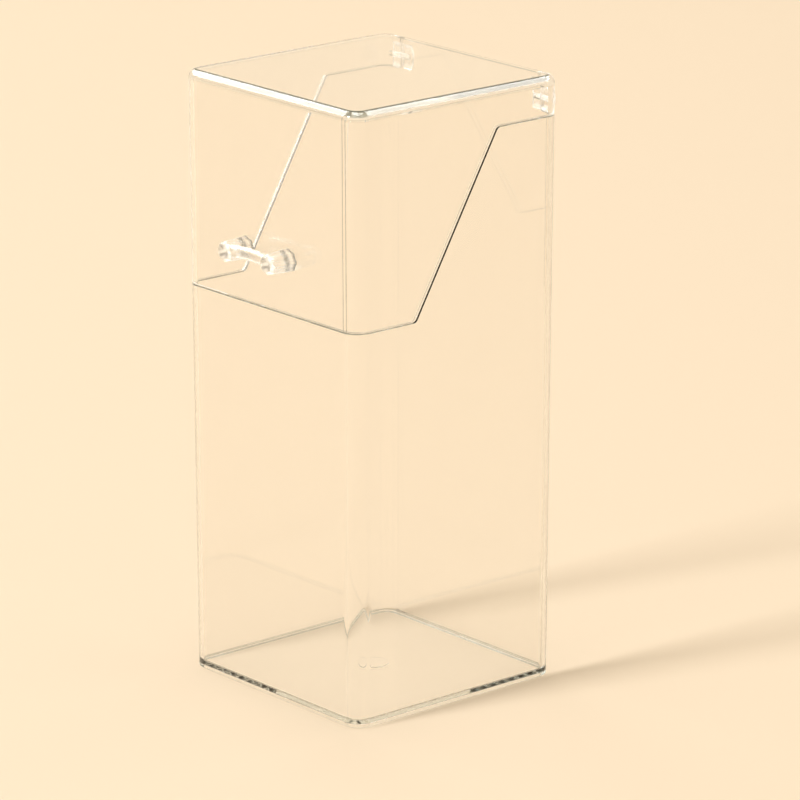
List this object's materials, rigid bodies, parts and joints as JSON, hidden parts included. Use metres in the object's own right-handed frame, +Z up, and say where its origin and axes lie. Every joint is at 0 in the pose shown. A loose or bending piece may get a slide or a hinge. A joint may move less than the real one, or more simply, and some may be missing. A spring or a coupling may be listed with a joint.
{
  "type": "makeup brush organizer",
  "caption": "Tall clear square box for makeup brushes, with a flip-up lid that covers the top and upper front, rear hinge pins and a small bow handle.",
  "frame": {"origin": "on the resting plane, under the middle of the whole reach from handle to hinge, 4.26 mm in front of the box's own middle", "axes": "+Z up, front with the handle towards -Y, hinge at the back towards +Y, +X to the right as seen from the front"},
  "size_m": [0.09, 0.1014, 0.21],
  "materials": {
    "clear_box": "clear, glossy",
    "clear_lid": "clear, glossy",
    "clear_handle": "clear, glossy",
    "clear_pin": "clear, glossy"
  },
  "bodies": {
    "box": {"storage_box": "clear_box", "hinge_pin_left": "clear_pin", "hinge_pin_right": "clear_pin"},
    "lid": {"flip_lid": "clear_lid", "pull_handle": "clear_handle"}
  },
  "joints": [
    {"name": "lid_hinge", "type": "hinge", "parent": "box", "child": "lid", "pos_m": [0, 0.04911, 0.20075], "axis": [-1, 0, 0], "range_deg": [0, 160]}
  ]
}
